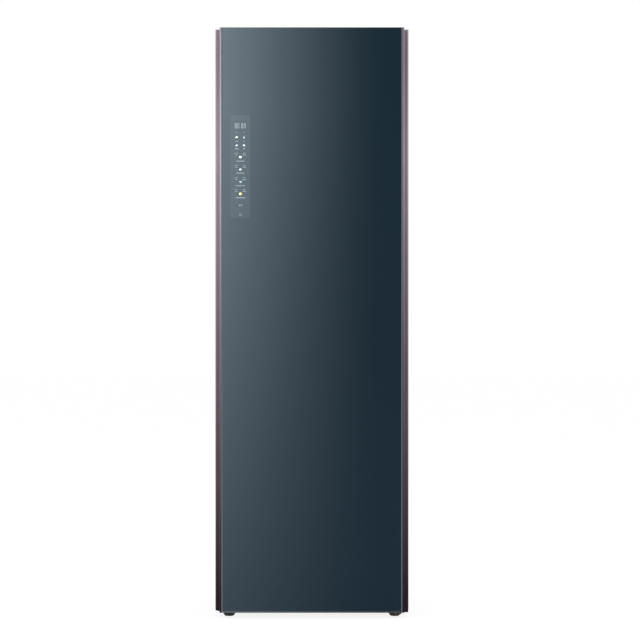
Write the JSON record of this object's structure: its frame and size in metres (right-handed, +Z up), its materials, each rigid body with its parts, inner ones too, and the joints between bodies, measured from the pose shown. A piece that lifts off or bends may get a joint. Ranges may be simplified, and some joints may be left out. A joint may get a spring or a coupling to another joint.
{
  "type": "clothes care steam cabinet",
  "caption": "Tall free-standing steam closet with one dark glass door, hanging chamber with shaking rail, water tanks and heat pump below.",
  "frame": {"origin": "middle of the underside, on the floor", "axes": "+Z up, the door faces -Y, +X to the right seen from the front"},
  "size_m": [0.6, 0.6, 1.825],
  "materials": {
    "dark_glass": "gloss",
    "door_edge": "satin",
    "silver_trim": "satin",
    "wing_trim": "satin",
    "casing_paint": "satin",
    "zinc_sheet": "satin",
    "black_plastic": "matte",
    "black_rubber": "matte",
    "foam": "matte",
    "white_liner": "satin",
    "grey_liner": "satin",
    "steel": "satin",
    "rail_plastic": "matte",
    "hanger_plastic": "matte",
    "lamp_lens": "satin",
    "tank_clear": "gloss",
    "tank_grey": "satin",
    "coil_fin": "satin",
    "copper": "satin",
    "compressor_black": "satin",
    "duct_plastic": "matte",
    "module_board": "matte",
    "hose_grey": "matte"
  },
  "bodies": {
    "cabinet": {"air_channel": "duct_plastic", "back_panel": "zinc_sheet", "base_tray": "black_plastic", "chamber_lamp": "lamp_lens", "chamber_liner": "white_liner", "compressor": "compressor_black", "condenser": "coil_fin", "control_box": "duct_plastic", "cooling_fan_frame": "black_plastic", "cord_gland": "black_rubber", "drain_tank": "tank_grey", "duct_panel": "grey_liner", "evaporator": "coil_fin", "fan_cover": "duct_plastic", "fan_motor": "steel", "fan_scroll": "duct_plastic", "front_collar": "grey_liner", "hinge_lower": "compressor_black", "hinge_upper": "steel", "hoses": "hose_grey", "insulation": "foam", "liner_ceiling": "white_liner", "liner_floor": "grey_liner", "rail_guides": "steel", "rail_motor": "duct_plastic", "rear_rests": "black_plastic", "refrigerant_pipes": "copper", "side_panel_left": "casing_paint", "side_panel_right": "casing_paint", "side_trim_left": "wing_trim", "side_trim_right": "wing_trim", "steam_generator": "coil_fin", "steam_nozzle": "rail_plastic", "supply_tank": "tank_clear", "tank_bay": "duct_plastic", "tank_lids": "rail_plastic", "top_cap": "black_plastic", "top_panel": "casing_paint", "water_pump": "duct_plastic", "wire_shelf": "steel"},
    "door": {"door_core": "foam", "door_gasket": "black_rubber", "door_glass": "dark_glass", "door_liner": "grey_liner", "door_trim_bottom": "silver_trim", "door_trim_left": "door_edge", "door_trim_right": "door_edge", "door_trim_top": "silver_trim", "display_module": "module_board", "hinge_bushes": "rail_plastic"},
    "rail": {"hanger_rail": "rail_plastic"},
    "crank": {"rail_crank": "steel"},
    "hanger_left": {"hanger_left": "hanger_plastic"},
    "hanger_middle": {"hanger_middle": "hanger_plastic"},
    "hanger_right": {"hanger_right": "hanger_plastic"},
    "filter": {"lint_filter": "rail_plastic"},
    "fan": {"fan_wheel": "rail_plastic"},
    "cooling_rotor": {"cooling_fan_rotor": "black_plastic"},
    "foot_left": {"levelling_foot_left": "black_plastic"},
    "foot_right": {"levelling_foot_right": "black_plastic"}
  },
  "joints": [
    {"name": "door_hinge", "type": "hinge", "parent": "cabinet", "child": "door", "pos_m": [0.267, -0.278, 0.9], "axis": [0, 0, 1], "range_deg": [0, 105]},
    {"name": "rail_shake", "type": "slide", "parent": "cabinet", "child": "rail", "axis": [1, 0, 0], "range_m": [-0.02, 0.02]},
    {"name": "crank_turn", "type": "hinge", "parent": "cabinet", "child": "crank", "pos_m": [0.06, -0.015, 1.785], "axis": [0, 0, 1], "continuous": true},
    {"name": "filter_lift", "type": "slide", "parent": "cabinet", "child": "filter", "axis": [0, 0, 1], "range_m": [0, 0.07]},
    {"name": "fan_spin", "type": "hinge", "parent": "cabinet", "child": "fan", "pos_m": [0, 0.235, 0.3], "axis": [0, 1, 0], "continuous": true},
    {"name": "cooling_spin", "type": "hinge", "parent": "cabinet", "child": "cooling_rotor", "pos_m": [-0.19, 0.285, 0.16], "axis": [0, 1, 0], "continuous": true},
    {"name": "hanger_left_swing", "type": "hinge", "parent": "rail", "child": "hanger_left", "pos_m": [-0.12, -0.015, 1.69], "axis": [1, 0, 0], "range_deg": [-8, 8]},
    {"name": "hanger_middle_swing", "type": "hinge", "parent": "rail", "child": "hanger_middle", "pos_m": [0, -0.015, 1.69], "axis": [1, 0, 0], "range_deg": [-8, 8]},
    {"name": "hanger_right_swing", "type": "hinge", "parent": "rail", "child": "hanger_right", "pos_m": [0.12, -0.015, 1.69], "axis": [1, 0, 0], "range_deg": [-8, 8]},
    {"name": "foot_left_turn", "type": "hinge", "parent": "cabinet", "child": "foot_left", "pos_m": [-0.258, -0.215, 0.01], "axis": [0, 0, 1], "range_deg": [0, 2160]},
    {"name": "foot_right_turn", "type": "hinge", "parent": "cabinet", "child": "foot_right", "pos_m": [0.258, -0.215, 0.01], "axis": [0, 0, 1], "range_deg": [0, 2160]}
  ]
}
